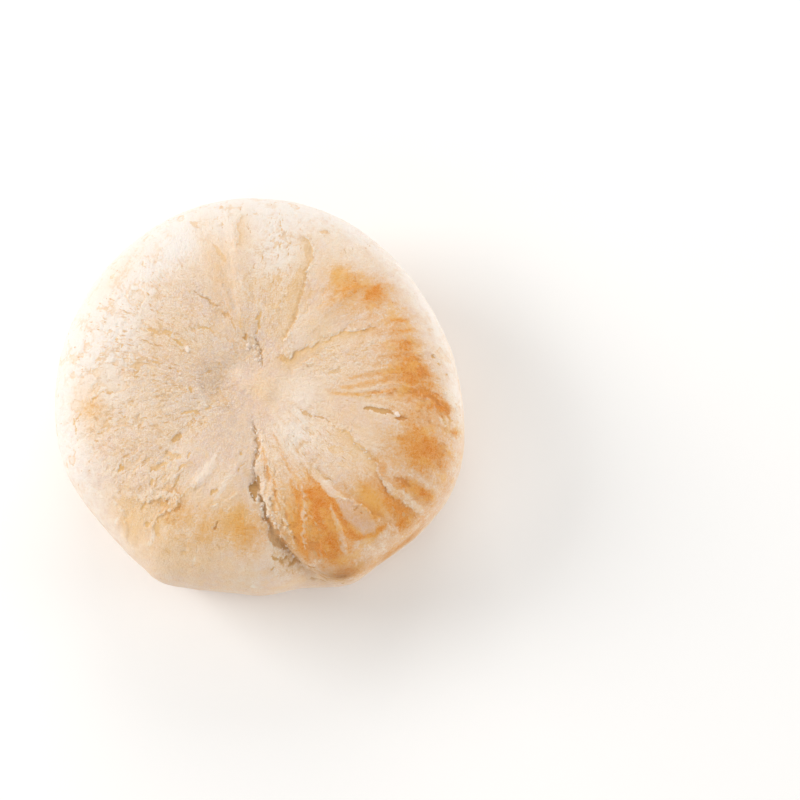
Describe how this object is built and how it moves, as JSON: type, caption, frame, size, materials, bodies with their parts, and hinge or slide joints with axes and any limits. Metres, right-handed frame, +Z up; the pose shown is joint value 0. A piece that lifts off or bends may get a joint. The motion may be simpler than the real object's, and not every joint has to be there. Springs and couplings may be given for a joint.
{
  "type": "mooncake",
  "caption": "Round flaky-crust mooncake, uncut: low with a rounded shoulder and a flat base, its pale crust gathered in torn radial pleats round a dimpled middle.",
  "frame": {"origin": "middle of the bounding box's underside, at the flat base the mooncake rests on", "axes": "+Z up out of the pleated upper face; the deepest pleat runs from the middle towards -Y"},
  "size_m": [0.081, 0.08, 0.034],
  "materials": {
    "crust": "baked flaky pastry: cream to pale gold with orange-brown patches, satin skin and dull torn layers, golden brown underneath"
  },
  "bodies": {
    "root": {"mooncake": "crust"}
  },
  "joints": []
}
